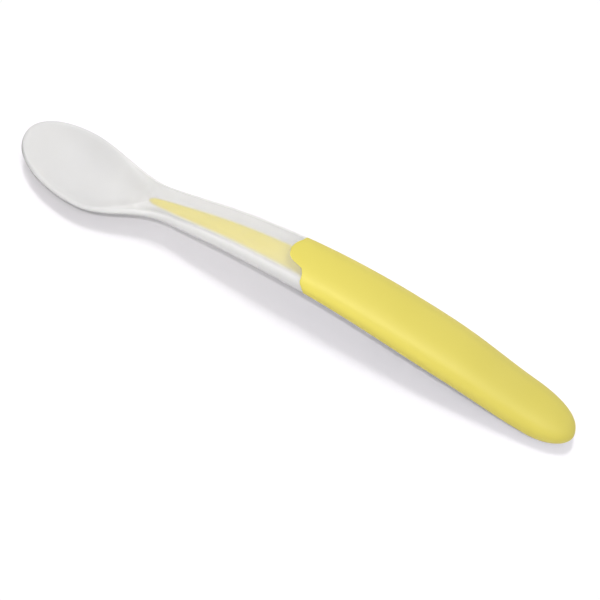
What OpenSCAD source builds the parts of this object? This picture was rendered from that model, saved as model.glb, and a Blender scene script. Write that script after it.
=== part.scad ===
/* [Whole spoon] */
// Length from the tip of the bowl to the end of the grip
spoon_len = 160; // [140:1:190]
// Length of the coloured grip, from the side of its front edge to its end
grip_len = 85; // [70:1:95]
// Flat worn under the bowl and the grip where the spoon rests
foot_cut = 0.25; // [0.1:0.05:0.5]

/* [Bowl] */
// Widest width of the bowl
bowl_w = 23.4; // [18:0.2:28]
// Distance from the tip to the widest place
bowl_front = 16.6; // [14:0.2:22]
// Distance from the tip to the throat, where the bowl runs into the neck
throat_at = 38.2; // [34:0.2:46]
// Depth from the middle of the lip to the underside
bowl_deep = 5.1; // [4.5:0.1:8]
// Thickness of the silicone under the hollow
bowl_wall = 1.5; // [1:0.1:2.2]
// Width of the lip round the hollow
lip_w = 0.7; // [0.5:0.1:1.8]
// Distance from the back end of the hollow to the throat
basin_back = 4; // [2:0.5:6]
// Height of the rounded lip above its middle
lip_rise = 0.5; // [0.2:0.05:0.8]

/* [Neck] */
// Width of the neck at the throat
throat_w = 10.3; // [8:0.1:11]
// Width of the neck a short way behind the throat
neck_w = 11.5; // [10:0.1:14]
// Width where the neck meets the grip
joint_w = 15.8; // [14:0.2:17]
// Thickness of the neck at the throat
throat_t = 4.2; // [3.6:0.1:5]
// Thickness where the neck meets the grip
joint_t = 6; // [5.4:0.1:7.2]
// Height of the middle of the throat above the table
throat_z = 7.4; // [7:0.1:9]
// Height of the middle of the neck half way along
neck_z = 10; // [9:0.1:11.5]
// Height of the middle of the handle where neck and grip meet
joint_z = 11.2; // [10:0.1:13]

/* [Grip] */
// Widest width of the grip
grip_w = 18.4; // [16:0.2:20]
// Thickness of the grip at its widest place
grip_t = 7.8; // [7:0.1:9]
// Height of the middle of the grip at its widest place
grip_z = 8.2; // [7:0.1:10]
// Width of the grip where its end starts to round off
heel_w = 16.4; // [14:0.1:18]
// Thickness of the grip where its end starts to round off
heel_t = 7.6; // [6.5:0.1:8.5]
// Length of the rounded end
end_len = 14.4; // [13:0.2:24]
// Height of the middle of the very end above the table
end_z = 3.1; // [2.4:0.1:3.4]
// How far the tongue of the grip reaches forward over the top of the neck
tongue_len = 6.3; // [4:0.1:9]

/* [Core] */
// Distance that the tip of the core reaches past the throat towards the bowl
core_reach = 4.7; // [1:0.1:6]
// Distance from the middle of the neck down to the tip of the core
core_dip = 0.7; // [0.3:0.1:1]
// Width of the core just behind its front tip
core_tip_w = 1.4; // [1.2:0.1:2.6]
// Width of the core where the grip begins
core_w = 8.8; // [5:0.1:9.4]
// Thickness of the core at its front tip
core_tip_t = 1.2; // [0.9:0.1:1.5]
// Thickness of the core where the grip begins
core_t = 2.6; // [2:0.1:3.2]
// Thickness of the grip around the core
skin_t = 1.9; // [1.4:0.1:2.4]
// Length over which the core widens inside the front of the grip
flare_len = 12; // [8:0.5:18]
// Bond line left between each moulding and the next
bond_gap = 0.05; // [0.03:0.01:0.1]

/* [Hidden] */

// Powers that shape the outlines and sections
front_power = 2.07;
fall_power = 1.86;
fade_power = 2.27;
keel_power = 1.2;
end_power = 2.26;
neck_power = 2.5;
basin_power = 2.8;
basin_ease_power = 1.2;
spear_power = 0.62;
dip_power = 3;
spear_edge_power = 1.5;
tang_edge_power = 0.9;
core_side_power = 0.9;

// Shares of the sizes that they follow: the flat part of the lip, where the neck has its own width
// and height, the middle of the grip, where the end rests, and the width and thickness at the end
lip_flat_share = 0.9;
neck_w_share = 0.18;
neck_z_share = 0.45;
belly_share = 0.5;
rest_share = 0.55;
end_w_share = 0.9;
end_t_share = 0.92;

// Places along the spoon, measured from the tip, and heights that follow from other sizes
joint_at = spoon_len - grip_len;
neck_len = joint_at - throat_at;
heel_at = spoon_len - end_len;
core_front = throat_at - core_reach;
core_end = spoon_len - skin_t;
core_heel = heel_at - skin_t;
belly_at = joint_at + belly_share*grip_len;
rest_at = spoon_len - rest_share*end_len;
basin_end = throat_at - basin_back;
lip_z = bowl_deep - foot_cut;
rest_z = heel_t/2*end_fade(rest_at, heel_at, spoon_len) - foot_cut;

// Width and height are given at these places and run smoothly between them
width_at = [throat_at, throat_at + neck_w_share*neck_len, joint_at, belly_at, heel_at, spoon_len];
widths = [throat_w, neck_w, joint_w, grip_w, heel_w, end_w_share*heel_w];
thick_at = [throat_at, joint_at, belly_at, heel_at, spoon_len];
thicks = [throat_t, joint_t, grip_t, heel_t, end_t_share*heel_t];
height_at = [0, bowl_front, throat_at, throat_at + neck_z_share*neck_len, joint_at, belly_at, rest_at,
    spoon_len];
heights = [lip_z, lip_z, throat_z, neck_z, joint_z, grip_z, rest_z, end_z];

// The underside is full under the handle and boat-shaped under the bowl, where its power is highest
hull_at = [0, bowl_front, throat_at, joint_at, spoon_len];
hull_powers = [1.2, 1.7, 1.15, 1.1, 1.1];

// How far forward the front edge of the grip lies at these angles round the handle: 1 at the nose
// of the tongue on top, which the near flank leaves more steeply, and 0 underneath
tongue_angles = [0, 20, 44, 54, 68, 80, 92, 102, 108, 113, 122, 137, 154, 172, 190, 215, 340, 360];
tongue_shares = [0.1, 0.31, 0.5, 0.58, 0.78, 0.93, 1, 0.93, 0.77, 0.47, 0.35, 0.3, 0.28, 0.1, -0.08,
    0, 0, 0.1];

// Points round every section, a multiple of 4 so that every section has a point at each side
around = 48;

// A smooth line through the values v at the places p, level where it meets a level stretch
function secant(p, v, i) = (v[i + 1] - v[i])/(p[i + 1] - p[i]);
function slope(p, v, i) =
    i == 0 ? secant(p, v, 0) :
    i == len(p) - 1 ? secant(p, v, i - 1) :
    let (a = secant(p, v, i - 1), b = secant(p, v, i))
    a*b == 0 ? 0 : (a*(p[i + 1] - p[i]) + b*(p[i] - p[i - 1]))/(p[i + 1] - p[i - 1]);
function through(p, v, s, i = 0) =
    i < len(p) - 2 && s > p[i + 1] ? through(p, v, s, i + 1) :
    let (w = p[i + 1] - p[i], t = min(1, max(0, (s - p[i])/w)))
    v[i]*(1 + 2*t)*(1 - t)*(1 - t) + slope(p, v, i)*w*t*(1 - t)*(1 - t)
    + v[i + 1]*t*t*(3 - 2*t) - slope(p, v, i + 1)*w*t*t*(1 - t);

// How far a place lies into the front of the bowl, its back and the rounded end, from 0 to 1
function front_reach(s) = max(0, (bowl_front - s)/bowl_front);
function back_reach(s) = min(1, max(0, (s - bowl_front)/(throat_at - bowl_front)));
function end_fade(s, from, to) =
    pow(1 - pow(min(1, max(0, (s - from)/(to - from))), end_power), 1/end_power);

// Half width of the outline before its end is rounded
function half_width(s) =
    s < bowl_front ? bowl_w/2*pow(1 - pow(front_reach(s), front_power), 1/front_power) :
    s < throat_at ? throat_w/2 + (bowl_w - throat_w)/2*pow(1 - pow(back_reach(s), fall_power), fade_power) :
    through(width_at, widths, s)/2;
function half_thick(s) = through(thick_at, thicks, s)/2;
function mid_height(s) = through(height_at, heights, s);
function section_power(s) = s < bowl_front ? 2 : 2 + (neck_power - 2)*min(1, (s - bowl_front)/neck_len);

// Depth of the underside below the middle line, from the bowl into the neck
function bowl_share(s) = pow(1 - pow(back_reach(s), fall_power), keel_power);
function under(s) =
    s > throat_at ? half_thick(s) :
    (bowl_deep*bowl_share(s) + throat_t/2*(1 - bowl_share(s)))*sqrt(1 - pow(front_reach(s), fade_power));

// Height of the top above the middle line, a rounded lip that turns into the crown of the neck
function lip_round(share) =
    share >= 1 ? 0 :
    share < lip_flat_share ? 1 :
    sqrt(1 - pow((share - lip_flat_share)/(1 - lip_flat_share), 2));
function crown(s, side, rise) =
    s > throat_at ? half_thick(s)*rise :
    let (b = back_reach(s)*back_reach(s))
    (1 - b)*lip_rise*lip_round(side)*lip_round(front_reach(s)) + b*throat_t/2*rise;

// Hollow of the bowl: 0 outside its outline and 1 at its deepest
function basin_share(s, y) =
    let (ahead = s < bowl_front ? (bowl_front - s)/(bowl_front - lip_w)
            : (s - bowl_front)/(basin_end - bowl_front),
        side = abs(y)/max(lip_w, half_width(max(s, bowl_front)) - lip_w),
        reach = pow(ahead, front_power) + pow(side, front_power))
    reach >= 1 ? 0 : pow(1 - pow(reach, basin_power/front_power), basin_ease_power);
function hollow(s, y) = s > throat_at ? 0 :
    max(0, under(s) + crown(s, 0, 1) - bowl_wall)*basin_share(s, y);

// Point of the outer surface at distance s from the tip and angle a round the section
function outer_point(s, a) =
    let (power = 2/section_power(s), fade = end_fade(s, heel_at, spoon_len),
        side = pow(abs(cos(a)), power), rise = pow(abs(sin(a)), power),
        y = sign(cos(a))*half_width(s)*side*fade,
        drop = pow(abs(sin(a)), through(hull_at, hull_powers, s)),
        z = a < 180 ? mid_height(s) + crown(s, side, rise)*fade - hollow(s, y)
            : mid_height(s) - under(s)*drop*fade)
    [s - spoon_len/2, y, max(0, z)];

// Half width and half thickness of the core, which follows the grip from inside. Its section is a
// lens with thin edges in the neck, and fuller in the grip
function core_share(s) = min(1, max(0, (s - core_front)/(joint_at - core_front)));
function flare(s) = let (t = min(1, max(0, (s - joint_at)/flare_len))) t*t*(3 - 2*t);
function core_half_width(s) =
    let (spear = core_tip_w/2 + (core_w - core_tip_w)/2*pow(core_share(s), spear_power))
    spear + flare(s)*(half_width(s) - skin_t - spear);
function core_half_thick(s) =
    let (spear = core_tip_t/2 + (core_t - core_tip_t)/2*core_share(s))
    spear + flare(s)*(half_thick(s) - skin_t - spear);
function core_mid(s) = mid_height(s) - core_dip*pow(1 - core_share(s), dip_power);
function core_edge_power(s) = spear_edge_power + flare(s)*(tang_edge_power - spear_edge_power);
function core_point(s, a, gap) =
    let (nose = sqrt(1 - pow(1 - min(1, max(0, (s - core_front)/core_tip_w)), 2)),
        fade = nose*end_fade(s, core_heel, core_end))
    [s - spoon_len/2,
        sign(cos(a))*(core_half_width(s)*fade + gap)*pow(abs(cos(a)), core_side_power),
        core_mid(s) + sign(sin(a))*(core_half_thick(s)*fade + gap)*pow(abs(sin(a)), core_edge_power(s))];

// Moves a place near the joint so that the section at the joint lies on the edge with the tongue
function waved(s, a) =
    s - tongue_len*through(tongue_angles, tongue_shares, a)*max(0, 1 - abs(s - joint_at)/(2*tongue_len));

// A closed skin over a chain of rings, from one end point to the other
function ring_angles() = [for (j = [0 : around - 1]) 360*j/around];
function skin_faces(rings) =
    let (last = 1 + rings*around)
    concat(
        [for (j = [0 : around - 1]) [0, 1 + j, 1 + (j + 1)%around]],
        [for (i = [0 : rings - 2]) for (j = [0 : around - 1]) for (half = [0, 1])
            let (a = 1 + i*around, b = a + around, k = (j + 1)%around)
            half == 0 ? [a + j, b + j, b + k] : [a + j, b + k, a + k]],
        [for (j = [0 : around - 1])
            let (a = 1 + (rings - 1)*around) [last, a + (j + 1)%around, a + j]]);
module skin(first, rings, last) {
    polyhedron(
        points = concat([first], [for (ring = rings) for (p = ring) p], [last]),
        faces = skin_faces(len(rings)));
}

// Places of the rings, closer together where the shape turns fastest
function turned(from, to, n, first) =
    [for (i = [first : n]) from + (to - from)*(1 - cos(90*i/n))];
bowl_rings = concat(turned(0, bowl_front, 12, 1),
    [for (i = [1 : 12]) bowl_front + (throat_at - bowl_front)*i/12]);
neck_rings = [for (i = [1 : 12]) throat_at + neck_len*i/12];
grip_rings = concat(
    [for (i = [0 : 14]) joint_at + (heel_at - joint_at)*i/14],
    [for (i = [1 : 11]) heel_at + end_len*sin(90*i/12)]);
spear_rings = concat(
    turned(core_front, core_front + core_tip_w, 4, 1),
    [for (i = [1 : 8]) core_front + core_tip_w + (joint_at - core_front - core_tip_w)*i/8]);
tang_rings = concat(
    [for (i = [0 : 10]) joint_at + (core_heel - joint_at)*i/10],
    [for (i = [1 : 6]) core_heel + (core_end - core_heel)*sin(90*i/7)]);

// Core of stiff plastic: a slim spear seen through the neck, and a wide tang inside the grip
module handle_core() {
    color([0.93, 0.85, 0.42])
    skin([core_front - spoon_len/2, 0, core_mid(core_front)],
        [for (s = concat(spear_rings, [for (i = [1 : len(tang_rings) - 1]) tang_rings[i]]))
            [for (a = ring_angles()) core_point(s, a, 0)]],
        [core_end - spoon_len/2, 0, mid_height(core_end)]);
}

// Bowl and neck, one clear silicone moulding cast over the front of the core
module silicone_head() {
    color([0.90, 0.90, 0.90, 0.7])
    skin([-spoon_len/2, 0, mid_height(0)],
        concat(
            [for (s = bowl_rings) [for (a = ring_angles()) outer_point(s, a)]],
            [for (s = neck_rings) [for (a = ring_angles()) outer_point(waved(s, a) - bond_gap/2, a)]],
            [for (i = [len(spear_rings) - 1 : -1 : 0])
                [for (a = ring_angles()) core_point(waved(spear_rings[i], a) - bond_gap/2, a, bond_gap)]]),
        [core_front - bond_gap - spoon_len/2, 0, core_mid(core_front)]);
}

// Soft grip cast over the tang and closed round its end
module grip_sleeve() {
    color([0.93, 0.88, 0.44])
    skin([core_end + bond_gap - spoon_len/2, 0, mid_height(core_end)],
        concat(
            [for (i = [len(tang_rings) - 1 : -1 : 0])
                [for (a = ring_angles()) core_point(waved(tang_rings[i], a) + bond_gap/2, a, bond_gap)]],
            [for (s = grip_rings) [for (a = ring_angles()) outer_point(waved(s, a) + bond_gap/2, a)]]),
        [spoon_len/2, 0, mid_height(spoon_len)]);
}

handle_core();
silicone_head();
grip_sleeve();
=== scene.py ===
import math
import bpy
import numpy as np
from mathutils import Matrix, Vector


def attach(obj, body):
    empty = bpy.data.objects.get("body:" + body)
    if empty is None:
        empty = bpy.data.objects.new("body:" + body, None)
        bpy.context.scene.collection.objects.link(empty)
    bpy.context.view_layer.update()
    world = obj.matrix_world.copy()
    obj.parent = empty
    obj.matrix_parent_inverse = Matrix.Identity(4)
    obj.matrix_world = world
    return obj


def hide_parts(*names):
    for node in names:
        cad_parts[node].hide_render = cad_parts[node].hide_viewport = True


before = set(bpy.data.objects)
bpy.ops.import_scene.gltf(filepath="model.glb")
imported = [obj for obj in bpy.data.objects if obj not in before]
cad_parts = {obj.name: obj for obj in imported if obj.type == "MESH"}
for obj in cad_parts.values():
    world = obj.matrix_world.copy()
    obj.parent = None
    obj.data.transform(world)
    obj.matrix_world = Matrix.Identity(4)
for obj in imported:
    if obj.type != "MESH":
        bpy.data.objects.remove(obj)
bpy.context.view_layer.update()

# Camera
# The photograph's own view: from about 600 mm away it looks down at 45 degrees, 25 degrees round
# towards the bowl, and it is rolled so that the handle runs from the upper left to the lower right.
view_round, view_down, view_roll = math.radians(-25.0), math.radians(45.0), math.radians(-45.89)
looked_at, view_far = Vector((-0.00808, -0.01736, 0.01842)), 0.6
film_wide, focal_len = 36.0, 153.45
back = Vector((math.sin(view_round)*math.cos(view_down), -math.cos(view_round)*math.cos(view_down),
               math.sin(view_down)))
level = Vector((math.cos(view_round), math.sin(view_round), 0))
above = back.cross(level)
lens = bpy.data.cameras.new("camera")
lens.sensor_width = film_wide
lens.lens = focal_len
camera = bpy.data.objects.new("camera", lens)
bpy.context.collection.objects.link(camera)
camera.matrix_world = Matrix((
    level*math.cos(view_roll) - above*math.sin(view_roll),
    level*math.sin(view_roll) + above*math.cos(view_roll),
    back)).transposed().to_4x4()
camera.location = looked_at + back*view_far
bpy.context.scene.camera = camera

# Bowl and neck
# One silicone moulding, the shallow bowl and the neck, cast in a heated mould round the front of
# the stiff core, to which it bonds. It is clear but milky, soft, and satin outside.

# Sizes are in millimetres, and places along the spoon are counted from the tip of the bowl. Names
# end in w for a width, t for a thickness and z for the height of the middle line over the table.
spoon_len, grip_len, foot_cut = 160.0, 85.0, 0.25
bowl_w, bowl_front, bowl_deep, bowl_wall = 23.4, 16.6, 5.1, 1.5
throat_at, throat_w, throat_t, throat_z = 38.2, 10.3, 4.2, 7.4
lip_w, lip_rise, basin_back = 0.7, 0.5, 4.0
neck_w, neck_z = 11.5, 10.0
joint_w, joint_t, joint_z = 15.8, 6.0, 11.2
grip_w, grip_t, grip_z = 18.4, 7.8, 8.2
heel_w, heel_t, end_len, end_z = 16.4, 7.6, 14.4, 3.1
tongue_len, bond_gap, eased_edge = 6.3, 0.05, 0.12
joint_at = spoon_len - grip_len
neck_len = joint_at - throat_at
heel_at = spoon_len - end_len

# Powers of the curves: 2 draws an ellipse, and a higher one a squarer shape.
front_power, fall_power, fade_power, keel_power, end_power, neck_power = 2.07, 1.86, 2.27, 1.2, 2.26, 2.5
basin_power, basin_ease_power = 2.8, 1.2

# Shares of the length, width or thickness that they are multiplied by.
lip_flat_share, neck_w_share, neck_z_share, belly_share, rest_share = 0.9, 0.18, 0.45, 0.5, 0.55
end_w_share, end_t_share = 0.9, 0.92
belly_at = joint_at + belly_share*grip_len
rest_at = spoon_len - rest_share*end_len


def end_fade(s, start, stop, power=end_power):
    """How much of the full width is left on the way to a rounded end."""
    return (1 - np.clip((s - start)/(stop - start), 0, 1)**power)**(1/power)


width_places = [throat_at, throat_at + neck_w_share*neck_len, joint_at, belly_at, heel_at, spoon_len]
widths = [throat_w, neck_w, joint_w, grip_w, heel_w, end_w_share*heel_w]
thick_places = [throat_at, joint_at, belly_at, heel_at, spoon_len]
thicks = [throat_t, joint_t, grip_t, heel_t, end_t_share*heel_t]
hull_places = [0, bowl_front, throat_at, joint_at, spoon_len]
hull_powers = [1.2, 1.7, 1.15, 1.1, 1.1]
height_places = [0, bowl_front, throat_at, throat_at + neck_z_share*neck_len, joint_at, belly_at, rest_at,
                 spoon_len]
heights = [bowl_deep - foot_cut, bowl_deep - foot_cut, throat_z, neck_z, joint_z, grip_z,
           heel_t/2*end_fade(rest_at, heel_at, spoon_len) - foot_cut, end_z]

# The front edge of the grip, round the section from the far side over the top: 1 at the tip of the
# tongue on top, which the near flank leaves more steeply, and 0 underneath.
tongue_angles = [0, 20, 44, 54, 68, 80, 92, 102, 108, 113, 122, 137, 154, 172, 190, 215, 340, 360]
tongue_shares = [0.1, 0.31, 0.5, 0.58, 0.78, 0.93, 1, 0.93, 0.77, 0.47, 0.35, 0.3, 0.28, 0.1, -0.08, 0, 0,
                 0.1]


def smooth_line(places, values, s):
    """A smooth line through the values at the places, level where it meets a level stretch."""
    places, values = np.array(places, float), np.array(values, float)
    gaps = np.diff(places)
    climbs = np.diff(values)/gaps
    lean = np.concatenate([climbs[:1], np.zeros(len(gaps) - 1), climbs[-1:]])
    for i in range(1, len(gaps)):
        if climbs[i - 1]*climbs[i] != 0:
            lean[i] = (climbs[i - 1]*gaps[i] + climbs[i]*gaps[i - 1])/(gaps[i - 1] + gaps[i])
    i = np.clip(np.searchsorted(places, s) - 1, 0, len(gaps) - 1)
    t = np.clip((s - places[i])/gaps[i], 0, 1)
    return (values[i]*(1 + 2*t)*(1 - t)**2 + lean[i]*gaps[i]*t*(1 - t)**2
            + values[i + 1]*t*t*(3 - 2*t) - lean[i + 1]*gaps[i]*t*t*(1 - t))


def into_front(s):
    """From 0 at the bowl's widest place to 1 at its tip."""
    return np.clip((bowl_front - s)/bowl_front, 0, 1)


def into_back(s):
    """From 0 at the bowl's widest place to 1 at its throat."""
    return np.clip((s - bowl_front)/(throat_at - bowl_front), 0, 1)


def half_width(s):
    front = bowl_w/2*(1 - into_front(s)**front_power)**(1/front_power)
    rear = throat_w/2 + (bowl_w - throat_w)/2*(1 - into_back(s)**fall_power)**fade_power
    handle = smooth_line(width_places, widths, s)/2
    return np.where(s < bowl_front, front, np.where(s < throat_at, rear, handle))


def half_thick(s):
    return smooth_line(thick_places, thicks, s)/2


def mid_height(s):
    return smooth_line(height_places, heights, s)


def underside(s):
    """Depth of the underside below the middle line."""
    bowl = (1 - into_back(s)**fall_power)**keel_power
    deep = (bowl_deep*bowl + throat_t/2*(1 - bowl))*np.sqrt(1 - into_front(s)**fade_power)
    return np.where(s > throat_at, half_thick(s), deep)


def lip_round(share):
    """The lip is level up to its outer edge, which is rounded."""
    past_flat = np.clip((share - lip_flat_share)/(1 - lip_flat_share), 0, 1)
    return np.sqrt(1 - past_flat**2)


def crown(s, side, rise):
    """Height of the top above the middle line: a rounded lip that turns into the neck's crown."""
    into = into_back(s)**2
    lip = (1 - into)*lip_rise*lip_round(side)*lip_round(into_front(s)) + into*throat_t/2*rise
    return np.where(s > throat_at, half_thick(s)*rise, lip)


def hollow(s, y):
    """Depth of the bowl's hollow."""
    ahead = np.where(s < bowl_front, (bowl_front - s)/(bowl_front - lip_w),
                     (s - bowl_front)/(throat_at - basin_back - bowl_front))
    side = np.abs(y)/np.maximum(lip_w, half_width(np.maximum(s, bowl_front)) - lip_w)
    reach = ahead**front_power + side**front_power
    deepest = np.maximum(0, underside(s) + crown(s, 0*s, 0*s + 1) - bowl_wall)
    basin = (1 - np.clip(reach, 0, 1)**(basin_power/front_power))**basin_ease_power
    return np.where(s > throat_at, 0, deepest*basin)


def outside(s, turn, inset=0.0):
    """Points of the outer surface at distance s from the tip and angle turn round the section."""
    c, t = np.cos(turn), np.sin(turn)
    c, t = np.where(np.abs(c) < 1e-9, 0, c), np.where(np.abs(t) < 1e-9, 0, t)
    power = 2/np.where(s < bowl_front, 2, 2 + (neck_power - 2)*np.clip((s - bowl_front)/neck_len, 0, 1))
    fade = end_fade(s, heel_at, spoon_len)
    side, rise = np.abs(c)**power, np.abs(t)**power
    drop = np.abs(t)**smooth_line(hull_places, hull_powers, s)
    y = np.sign(c)*(half_width(s) - inset)*side*fade
    z = np.where(t >= 0, mid_height(s) + (crown(s, side, rise) - inset*rise)*fade - hollow(s, y),
                 mid_height(s) - (underside(s) - inset)*drop*fade)
    return np.stack([s - spoon_len/2 + 0*y, y, np.maximum(0, z)], -1)


def to_joint(s, turn):
    """Moves a place near the joint so that the section at the joint lies on the tongue's edge."""
    near = np.clip(1 - np.abs(s - joint_at)/(2*tongue_len), 0, 1)
    return s - tongue_len*smooth_line(tongue_angles, tongue_shares, np.degrees(turn))*near


points_round = 160
turns = np.radians(np.arange(points_round)*360/points_round)


def rings_of(places, surface):
    return [surface(s, turns) for s in places]


def bunched(start, stop, count):
    """Places from start to stop, closer together at the start."""
    return start + (stop - start)*(1 - np.cos(np.pi/2*np.arange(1, count + 1)/count))


def skinned(name, first, rings, last, bonded_from=None):
    """One closed skin over a chain of rings. Faces from ring bonded_from on take the second finish."""
    points = np.concatenate([[first], np.concatenate(rings), [last]])/1000
    ends = 1 + len(rings)*points_round
    nearby = [(j, (j + 1) % points_round) for j in range(points_round)]
    faces = [(0, 1 + j, 1 + k) for j, k in nearby]
    for i in range(len(rings) - 1):
        a, b = 1 + i*points_round, 1 + (i + 1)*points_round
        faces += [(a + j, b + j, b + k, a + k) for j, k in nearby]
    a = 1 + (len(rings) - 1)*points_round
    faces += [(ends, a + k, a + j) for j, k in nearby]
    mesh = bpy.data.meshes.new(name)
    mesh.from_pydata(points.tolist(), [], [tuple(reversed(f)) for f in faces])
    if bonded_from is not None:
        first_bonded = (1 + bonded_from)*points_round
        mesh.polygons.foreach_set("material_index", [int(i >= first_bonded) for i in range(len(faces))])
    mesh.polygons.foreach_set("use_smooth", [True]*len(faces))
    mesh.update()
    mesh.set_sharp_from_angle(angle=math.radians(40))
    piece = bpy.data.objects.new(name, mesh)
    bpy.context.collection.objects.link(piece)
    return piece


def paint(piece, name, values):
    """Gives each point of a piece a value that its material can read by name."""
    piece.data.attributes.new(name, "FLOAT", "POINT").data.foreach_set("value", values)


# The core's sizes stand here, because the inside of the neck follows it.
core_reach, core_dip, core_tip_w, core_w, core_tip_t, core_t = 4.7, 0.7, 1.4, 8.8, 1.2, 2.6
skin_t, flare_len, spear_power, dip_power = 1.9, 12.0, 0.62, 3
spear_edge_power, tang_edge_power, core_side_power = 1.5, 0.9, 0.9
core_front, core_end, core_heel = throat_at - core_reach, spoon_len - skin_t, heel_at - skin_t


def core_skin(s, turn, gap=0.0):
    """Points of the core: a slim spear in the neck, and a wide tang that follows the grip inside."""
    share = np.clip((s - core_front)/(joint_at - core_front), 0, 1)
    t = np.clip((s - joint_at)/flare_len, 0, 1)
    flare = t*t*(3 - 2*t)
    wide = core_tip_w/2 + (core_w - core_tip_w)/2*share**spear_power
    wide = wide + flare*(half_width(s) - skin_t - wide)
    thick = core_tip_t/2 + (core_t - core_tip_t)/2*share
    thick = thick + flare*(half_thick(s) - skin_t - thick)
    nose = np.sqrt(1 - (1 - np.clip((s - core_front)/core_tip_w, 0, 1))**2)
    fade = nose*end_fade(s, core_heel, core_end)
    c, t = np.cos(turn), np.sin(turn)
    y = np.sign(c)*(wide*fade + gap)*np.abs(c)**core_side_power
    edge_power = spear_edge_power + flare*(tang_edge_power - spear_edge_power)
    middle = mid_height(s) - core_dip*(1 - share)**dip_power
    z = middle + np.sign(t)*(thick*fade + gap)*np.abs(t)**edge_power
    return np.stack([s - spoon_len/2 + 0*y, y, z], -1)


# The outside runs from the tip to the joint, turns in over an edge eased by about a tenth of a
# millimetre, and goes back along the core to its tip.
bowl_places = np.concatenate([bunched(0, bowl_front, 44), np.linspace(bowl_front, throat_at, 61)[1:]])
neck_places = np.linspace(throat_at, joint_at, 91)[1:]
easing = eased_edge*(1 - np.cos(np.linspace(0, np.pi/2, 6)))
ease_back = eased_edge*(1 - np.sin(np.linspace(0, np.pi/2, 6)))
spear_places = np.concatenate([bunched(core_front, core_front + core_tip_w, 14),
                               np.linspace(core_front + core_tip_w, joint_at, 60)[1:]])
head_rings = rings_of(bowl_places, outside)
head_rings += rings_of(neck_places[:-1], lambda s, a: outside(to_joint(s, a) - bond_gap/2, a))
head_rings += [outside(to_joint(joint_at, turns) - bond_gap/2 - back_by, turns, eased)
               for back_by, eased in zip(ease_back, easing)]
outer_rings = len(head_rings)
head_rings += rings_of(spear_places[::-1],
                       lambda s, a: core_skin(to_joint(s, a) - bond_gap/2, a, bond_gap))
head = skinned("silicone_bowl_and_neck", [-spoon_len/2, 0, mid_height(0.0)], head_rings,
               [core_front - bond_gap - spoon_len/2, 0, core_skin(core_front, 0.0)[2]], outer_rings - 1)

# A flank is a long way through, so it looks denser than the top, and so does the underside. The
# change runs between two heights on the section, where 1 is its top. Both heights are a little
# lower on the bowl, and rise to the neck's over 8 mm.
clear_above_bowl, clear_above_neck = 0.75, 0.86
dense_below_bowl, dense_below_neck = 0.50, 0.58
turn_to_neck = 8.0
ring_places = np.concatenate([bowl_places, neck_places, np.full(len(head_rings), joint_at)])[:len(head_rings)]
on_neck = np.clip((ring_places[:, None] - throat_at)/turn_to_neck, 0, 1)
clear_above = clear_above_bowl + (clear_above_neck - clear_above_bowl)*on_neck
dense_below = dense_below_bowl + (dense_below_neck - dense_below_bowl)*on_neck
below = np.clip((clear_above - np.sin(turns))/(clear_above - dense_below), 0, 1)
paint(head, "underneath", np.concatenate([[0], below.ravel(), [0]]).tolist())


def screen_colour(written):
    """A colour written as it looks on a screen, turned to linear light."""
    parts = [int(written[i:i + 2], 16)/255 for i in (1, 3, 5)]
    return [p/12.92 if p <= 0.04045 else ((p + 0.055)/1.055)**2.4 for p in parts] + [1.0]


def add(tree, kind, inputs=None, **settings):
    """Adds one node with its settings, values and links."""
    made = tree.nodes.new(kind)
    for name, value in settings.items():
        setattr(made, name, value)
    for name, value in (inputs or {}).items():
        if isinstance(value, bpy.types.NodeSocket):
            tree.links.new(value, made.inputs[name])
        else:
            made.inputs[name].default_value = value
    return made


def blank_material(name):
    material = bpy.data.materials.new(name)
    material.use_nodes = True
    material.node_tree.nodes.clear()
    return material, material.node_tree


# A colour mix shares its sockets' names with a number mix, so its own are taken by their places.
mix_by, mix_from, mix_to, mixed = 0, 6, 7, 2

# Clear platinum-cured silicone, moulded in a blasted tool: light passes and scatters in it, so it
# looks milky and pale grey over a white table, with soft highlights and a slight cloudiness. The
# thin bowl is a little greyer than the thick neck, which scatters more. The paler colour already
# starts at the bowl's widest place and grows towards the throat. That part is painted light, which
# lifts the shade in the back of the hollow.
# The clouds are about 11 mm wide. The blasted grain is finer than 0.1 mm, too fine to show, and is
# drawn at 0.45 mm. Places are in metres along the spoon.
thin_low, thin_high, thick_and_painted_light_colour = "#E3E2E1", "#E7E6E5", "#F5F4F2"
clouds_a_metre, grains_a_metre, grain_strength, grain_deep = 90.0, 2200.0, 0.05, 0.0002
painted_light_from, full_neck_colour_from = -0.063, -0.041
bowl_density, neck_density, joint_density, flank_density = 0.92, 0.33, 0.36, 0.94
bowl_until, neck_from, neck_until, joint_from = -0.055, -0.045, -0.020, -0.009
satin, dull = 0.4, 0.8
silicone, tree = blank_material("moulded_milky_silicone")
place = add(tree, "ShaderNodeTexCoord")
clouds = add(tree, "ShaderNodeTexNoise", {
    "Vector": place.outputs["Object"], "Scale": clouds_a_metre, "Detail": 3.0, "Roughness": 0.5})
thin = add(tree, "ShaderNodeMix", {
    mix_by: clouds.outputs["Fac"], mix_from: screen_colour(thin_low), mix_to: screen_colour(thin_high)},
    data_type="RGBA")
grain = add(tree, "ShaderNodeTexNoise", {
    "Vector": place.outputs["Object"], "Scale": grains_a_metre, "Detail": 2.0})
bump = add(tree, "ShaderNodeBump", {
    "Height": grain.outputs["Fac"], "Strength": grain_strength, "Distance": grain_deep})
along = add(tree, "ShaderNodeSeparateXYZ", {0: place.outputs["Object"]})
# Paler from the bowl's widest place to the throat: partly the thick neck's scatter, partly painted light over
# the shade in the back of the hollow.
thicker_and_painted_light = add(tree, "ShaderNodeMapRange", {
    "Value": along.outputs["X"], "From Min": painted_light_from, "From Max": full_neck_colour_from,
    "To Min": 0.0, "To Max": 1.0}, interpolation_type="SMOOTHSTEP")
tint = add(tree, "ShaderNodeMix", {
    mix_by: thicker_and_painted_light.outputs[0], mix_from: thin.outputs[mixed], mix_to: screen_colour(thick_and_painted_light_colour)},
    data_type="RGBA")
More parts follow.
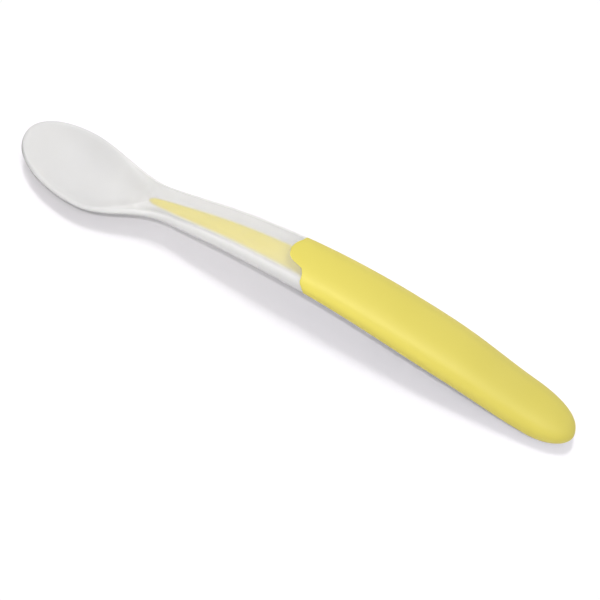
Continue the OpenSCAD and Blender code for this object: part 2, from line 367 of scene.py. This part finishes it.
cloudy = add(tree, "ShaderNodeMapRange", {
    "Value": along.outputs["X"], "From Min": bowl_until, "From Max": neck_from,
    "To Min": bowl_density, "To Max": neck_density}, interpolation_type="SMOOTHSTEP")
by_the_grip = add(tree, "ShaderNodeMapRange", {
    "Value": along.outputs["X"], "From Min": neck_until, "From Max": joint_from,
    "To Min": neck_density, "To Max": joint_density}, interpolation_type="SMOOTHSTEP")
cloudy = add(tree, "ShaderNodeMath", {0: cloudy.outputs[0], 1: by_the_grip.outputs[0]}, operation="MAXIMUM")
# Little light gets through the whole neck to the table, so its shadow is as deep as the bowl's.
crossing = add(tree, "ShaderNodeLightPath")
kept = add(tree, "ShaderNodeMapRange", {
    "Value": crossing.outputs["Is Shadow Ray"], "To Min": flank_density, "To Max": 1.0})
low = add(tree, "ShaderNodeAttribute", attribute_name="underneath")
crossed = add(tree, "ShaderNodeMath", {0: low.outputs["Fac"], 1: kept.outputs[0]}, operation="MULTIPLY")
held_back = add(tree, "ShaderNodeMath", {0: cloudy.outputs[0], 1: crossed.outputs[0]}, operation="MAXIMUM")
rough = add(tree, "ShaderNodeMapRange", {"Value": low.outputs["Fac"], "To Min": satin, "To Max": dull})
surface = add(tree, "ShaderNodeBsdfPrincipled", {
    "Base Color": tint.outputs[mixed], "Roughness": rough.outputs[0], "IOR": 1.41,
    "Specular IOR Level": 0.2, "Alpha": held_back.outputs[0],
    "Subsurface Weight": 0.5, "Subsurface Radius": (1.0, 1.0, 0.95), "Subsurface Scale": 0.003,
    "Normal": bump.outputs["Normal"]})
add(tree, "ShaderNodeOutputMaterial", {"Surface": surface.outputs["BSDF"]})

# The same silicone where it is bonded to the core and the grip: no air lies between, so nothing
# is seen of that wall but what is behind it.
bonded, tree = blank_material("silicone_bonded_wall")
surface = add(tree, "ShaderNodeBsdfPrincipled", {
    "Base Color": screen_colour("#FFFFFF"), "Specular IOR Level": 0.0, "Alpha": 0.0})
add(tree, "ShaderNodeOutputMaterial", {"Surface": surface.outputs["BSDF"]})
head.data.materials.append(silicone)
head.data.materials.append(bonded)
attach(head, "root")
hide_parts("silicone_head")

# Core
# The stiff member, injection moulded in yellow polypropylene: a slim spear that starts in the
# throat of the bowl and a wide tang inside the grip. Both mouldings are cast round it.
tang_places = np.concatenate([np.linspace(joint_at, core_heel, 50)[1:],
                              core_heel + (core_end - core_heel)*np.sin(np.pi/2*np.arange(1, 24)/24)])
core_places = np.concatenate([spear_places, tang_places])
core = skinned("stiff_core", [core_front - spoon_len/2, 0, core_skin(core_front, 0.0)[2]],
               rings_of(core_places, core_skin), [core_end - spoon_len/2, 0, mid_height(core_end)])

# How near a point of the core is to its edge, the far one counted a fifth more, and how far it is
# along the neck.
far_edge = 1.2
flanks = np.maximum(far_edge*np.cos(turns), -np.cos(turns))
depths = np.clip((core_places - core_front)/(joint_at - core_front), 0, 1)
paint(core, "flank", np.concatenate([[0], np.tile(flanks, len(core_places)), [0]]).tolist())
paint(core, "depth", np.concatenate([[0], np.repeat(depths, points_round), [1]]).tolist())

# Polypropylene from a polished tool: a strong yellow with a dull gloss. Towards its edges and the
# grip the silicone over it is deeper and cloudier, and the yellow fades into it with a soft edge.
# Its flow marks are about 8 mm wide. Rays that have been scattered see it grey, because the neck
# would otherwise look yellow all through, which the real one doesn't.
yellow_low, yellow_high, veil_colour, core_thrown = "#E9D613", "#ECD91E", "#ECE9DC", "#E8E8EA"
core_flows_a_metre = 120.0
edge_from, edge_until, edge_veil = 0.75, 1.0, 0.85
deep_from, deep_until, deep_veil = 0.6, 1.0, 0.05
polypropylene, tree = blank_material("moulded_polypropylene")
place = add(tree, "ShaderNodeTexCoord")
flow = add(tree, "ShaderNodeTexNoise", {
    "Vector": place.outputs["Object"], "Scale": core_flows_a_metre, "Detail": 2.0})
tint = add(tree, "ShaderNodeMix", {
    mix_by: flow.outputs["Fac"], mix_from: screen_colour(yellow_low), mix_to: screen_colour(yellow_high)},
    data_type="RGBA")
edge = add(tree, "ShaderNodeAttribute", attribute_name="flank")
sideways = add(tree, "ShaderNodeMapRange", {
    "Value": edge.outputs["Fac"], "From Min": edge_from, "From Max": edge_until,
    "To Min": 0.0, "To Max": edge_veil}, interpolation_type="SMOOTHSTEP")
deep = add(tree, "ShaderNodeAttribute", attribute_name="depth")
far_in = add(tree, "ShaderNodeMapRange", {
    "Value": deep.outputs["Fac"], "From Min": deep_from, "From Max": deep_until,
    "To Min": 0.0, "To Max": deep_veil}, interpolation_type="SMOOTHSTEP")
veil = add(tree, "ShaderNodeMath", {0: sideways.outputs[0], 1: far_in.outputs[0]}, operation="ADD",
           use_clamp=True)
faded = add(tree, "ShaderNodeMix", {
    mix_by: veil.outputs[0], mix_from: tint.outputs[mixed], mix_to: screen_colour(veil_colour)},
    data_type="RGBA")
thrown = add(tree, "ShaderNodeLightPath")
faded = add(tree, "ShaderNodeMix", {
    mix_by: thrown.outputs["Is Diffuse Ray"], mix_from: faded.outputs[mixed],
    mix_to: screen_colour(core_thrown)}, data_type="RGBA")
surface = add(tree, "ShaderNodeBsdfPrincipled", {
    "Base Color": faded.outputs[mixed], "Roughness": 0.45, "IOR": 1.49})
add(tree, "ShaderNodeOutputMaterial", {"Surface": surface.outputs["BSDF"]})
core.data.materials.append(polypropylene)
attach(core, "root")
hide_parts("handle_core")

# Grip
# A soft elastomer sleeve, moulded over the core's tang and closed round its end. Its front edge
# meets the silicone in a tongue on top, and both edges are eased by about a tenth of a millimetre.
grip_places = np.concatenate([np.linspace(joint_at, heel_at, 141)[1:],
                              heel_at + end_len*np.sin(np.pi/2*np.arange(1, 48)/48)])
sleeve_rings = rings_of(np.concatenate([spear_places[-1:], tang_places])[::-1],
                        lambda s, a: core_skin(to_joint(s, a) + bond_gap/2, a, bond_gap))
sleeve_rings += [outside(to_joint(joint_at, turns) + bond_gap/2 + back_by, turns, eased)
                 for back_by, eased in zip(ease_back[::-1], easing[::-1])]
sleeve_rings += rings_of(
    grip_places, lambda s, a: outside(np.minimum(to_joint(s, a) + bond_gap/2, spoon_len), a))
grip = skinned("soft_grip_sleeve", [core_end + bond_gap - spoon_len/2, 0, mid_height(core_end)],
               sleeve_rings, [spoon_len/2, 0, mid_height(spoon_len)])

# Thermoplastic elastomer, moulded in a blasted tool: a satin yellow, with a broad soft highlight
# and colour that varies a little in flow marks about 17 mm wide. Its grain too is finer than 0.1 mm
# and is drawn at 0.33 mm. Scattered rays see it grey too, so that it doesn't stain the clear neck.
soft_low, soft_high, soft_thrown = "#EBDC62", "#EFE06A", "#E0E0E4"
soft_flows_a_metre, soft_grains_a_metre, soft_grain_strength = 60.0, 3000.0, 0.12
elastomer, tree = blank_material("moulded_soft_elastomer")
place = add(tree, "ShaderNodeTexCoord")
flow = add(tree, "ShaderNodeTexNoise", {
    "Vector": place.outputs["Object"], "Scale": soft_flows_a_metre, "Detail": 3.0})
tint = add(tree, "ShaderNodeMix", {
    mix_by: flow.outputs["Fac"], mix_from: screen_colour(soft_low), mix_to: screen_colour(soft_high)},
    data_type="RGBA")
thrown = add(tree, "ShaderNodeLightPath")
tint = add(tree, "ShaderNodeMix", {
    mix_by: thrown.outputs["Is Diffuse Ray"], mix_from: tint.outputs[mixed],
    mix_to: screen_colour(soft_thrown)}, data_type="RGBA")
grain = add(tree, "ShaderNodeTexNoise", {
    "Vector": place.outputs["Object"], "Scale": soft_grains_a_metre, "Detail": 2.0})
bump = add(tree, "ShaderNodeBump", {
    "Height": grain.outputs["Fac"], "Strength": soft_grain_strength, "Distance": grain_deep})
surface = add(tree, "ShaderNodeBsdfPrincipled", {
    "Base Color": tint.outputs[mixed], "Roughness": 0.45, "IOR": 1.48, "Specular IOR Level": 0.35,
    "Normal": bump.outputs["Normal"]})
add(tree, "ShaderNodeOutputMaterial", {"Surface": surface.outputs["BSDF"]})
grip.data.materials.append(elastomer)
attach(grip, "root")
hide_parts("grip_sleeve")

# Table and room
# A plain white painted board in a white room. Both look white themselves, and the board keeps the
# spoon's shadow. It throws little light back up, so that the spoon's underside is in shade.
table_half, table_down = 3, 0.00005
table_mesh = bpy.data.meshes.new("table")
table_mesh.from_pydata([(-table_half, -table_half, -table_down), (table_half, -table_half, -table_down),
                        (table_half, table_half, -table_down), (-table_half, table_half, -table_down)],
                       [], [(0, 1, 2, 3)])
table = bpy.data.objects.new("table", table_mesh)
bpy.context.collection.objects.link(table)


def seen_by(tree, rays):
    """1 for rays that see the surroundings, straight, by a reflection or through the piece."""
    seen = add(tree, "ShaderNodeMath", {0: rays.outputs["Is Camera Ray"], 1: rays.outputs["Is Glossy Ray"]},
               operation="MAXIMUM")
    seen = add(tree, "ShaderNodeMath", {0: seen.outputs[0], 1: rays.outputs["Is Transmission Ray"]},
               operation="MAXIMUM")
    return seen.outputs[0]


board_colour, board_thrown, board_glow = "#F2EFF3", "#B4B2B4", 0.16
white_board, tree = blank_material("painted_white_board")
rays = add(tree, "ShaderNodeLightPath")
glow_share = add(tree, "ShaderNodeMath", {0: seen_by(tree, rays), 1: board_glow}, operation="MULTIPLY")
thrown_back = add(tree, "ShaderNodeMix", {
    mix_by: rays.outputs["Is Diffuse Ray"], mix_from: screen_colour(board_colour),
    mix_to: screen_colour(board_thrown)}, data_type="RGBA")
board = add(tree, "ShaderNodeBsdfDiffuse", {"Color": thrown_back.outputs[mixed]})
glow = add(tree, "ShaderNodeEmission", {"Color": (1, 1, 1, 1), "Strength": glow_share.outputs[0]})
both = add(tree, "ShaderNodeAddShader", {0: board.outputs[0], 1: glow.outputs[0]})
add(tree, "ShaderNodeOutputMaterial", {"Surface": both.outputs[0]})
table_mesh.materials.append(white_board)

front_wall, back_wall = 0.42, 0.44
room = bpy.data.worlds.new("white_room")
room.use_nodes = True
room.node_tree.nodes.clear()
tree = room.node_tree
seen = seen_by(tree, add(tree, "ShaderNodeLightPath"))
facing = add(tree, "ShaderNodeSeparateXYZ", {0: add(tree, "ShaderNodeTexCoord").outputs["Generated"]})
walls = add(tree, "ShaderNodeMapRange", {
    "Value": facing.outputs["Y"], "From Min": -1.0, "From Max": 1.0,
    "To Min": front_wall, "To Max": back_wall})
level_of_light = add(tree, "ShaderNodeMix", {"Factor": seen, "A": walls.outputs[0], "B": 1.0})
air = add(tree, "ShaderNodeBackground", {"Color": (1, 1, 1, 1), "Strength": level_of_light.outputs[0]})
add(tree, "ShaderNodeOutputWorld", {"Surface": air.outputs[0]})
bpy.context.scene.world = room

# Lamps
# Wide soft lamps and reflectors round the table. The board, the grip and the silicone have lamps of
# their own, so that each has the photograph's level. The lamp by the camera hides its shadow behind
# the spoon, but for a thin dark line below its near edge.


def lamp(name, kind, place, energy, aimed_at=(0, 0, 0), **settings):
    light = bpy.data.lights.new(name, kind)
    light.energy = energy
    for key, value in settings.items():
        setattr(light, key, value)
    made = bpy.data.objects.new(name, light)
    made.location = place
    made.rotation_euler = (Vector(aimed_at) - Vector(place)).to_track_quat("-Z", "Y").to_euler()
    made.visible_camera = False
    bpy.context.collection.objects.link(made)
    return made


# The strip makes the soft highlight on the lips and edges, and lights nothing else.
strip = lamp("highlight_strip", "AREA", (0.165, 0, 0.47), 1.5, shape="RECTANGLE", size=0.14, size_y=0.45)
strip.visible_diffuse = False

# Each of the others lights the pieces named with it and no others, and shows in no gloss.
front_place, low_place = (-0.1, -0.6, 0.42), (0.0, -0.7, 0.0)
wide = math.radians(40)
for name, kind, place, energy, lit, settings in [
        ("overhead_softbox", "SUN", (-0.6, 0.12, 1.0), 0.8, [table, grip], {"angle": math.radians(14)}),
        ("key_softbox", "SUN", (-0.6, 0.36, 1.0), 0.5, [table], {"angle": math.radians(22)}),
        ("top_softbox", "SUN", (0.15, 0.6, 1.0), 1.55, [head, core], {"angle": math.radians(30)}),
        ("side_softbox", "AREA", (-0.135, -0.13, 0.28), 0.39, [grip],
         {"aimed_at": (0.035, 0, 0.01), "shape": "SQUARE", "size": 0.16}),
        ("low_reflector", "SUN", low_place, 0.75, [grip], {"angle": wide, "use_shadow": False}),
        ("lamp_by_the_camera", "SUN", (-0.41, -0.78, 1.0), 1.07, [table], {"angle": math.radians(2.5)}),
        ("front_softbox", "SUN", front_place, 1.1, [head, core], {"angle": wide, "use_shadow": False})]:
    made = lamp(name, kind, place, energy, **settings)
    made.visible_glossy = False
    lit_pieces = bpy.data.collections.new("lit_by_" + name)
    for piece in lit:
        lit_pieces.objects.link(piece)
    made.light_linking.receiver_collection = lit_pieces

bpy.context.scene.view_settings.view_transform = "Standard"
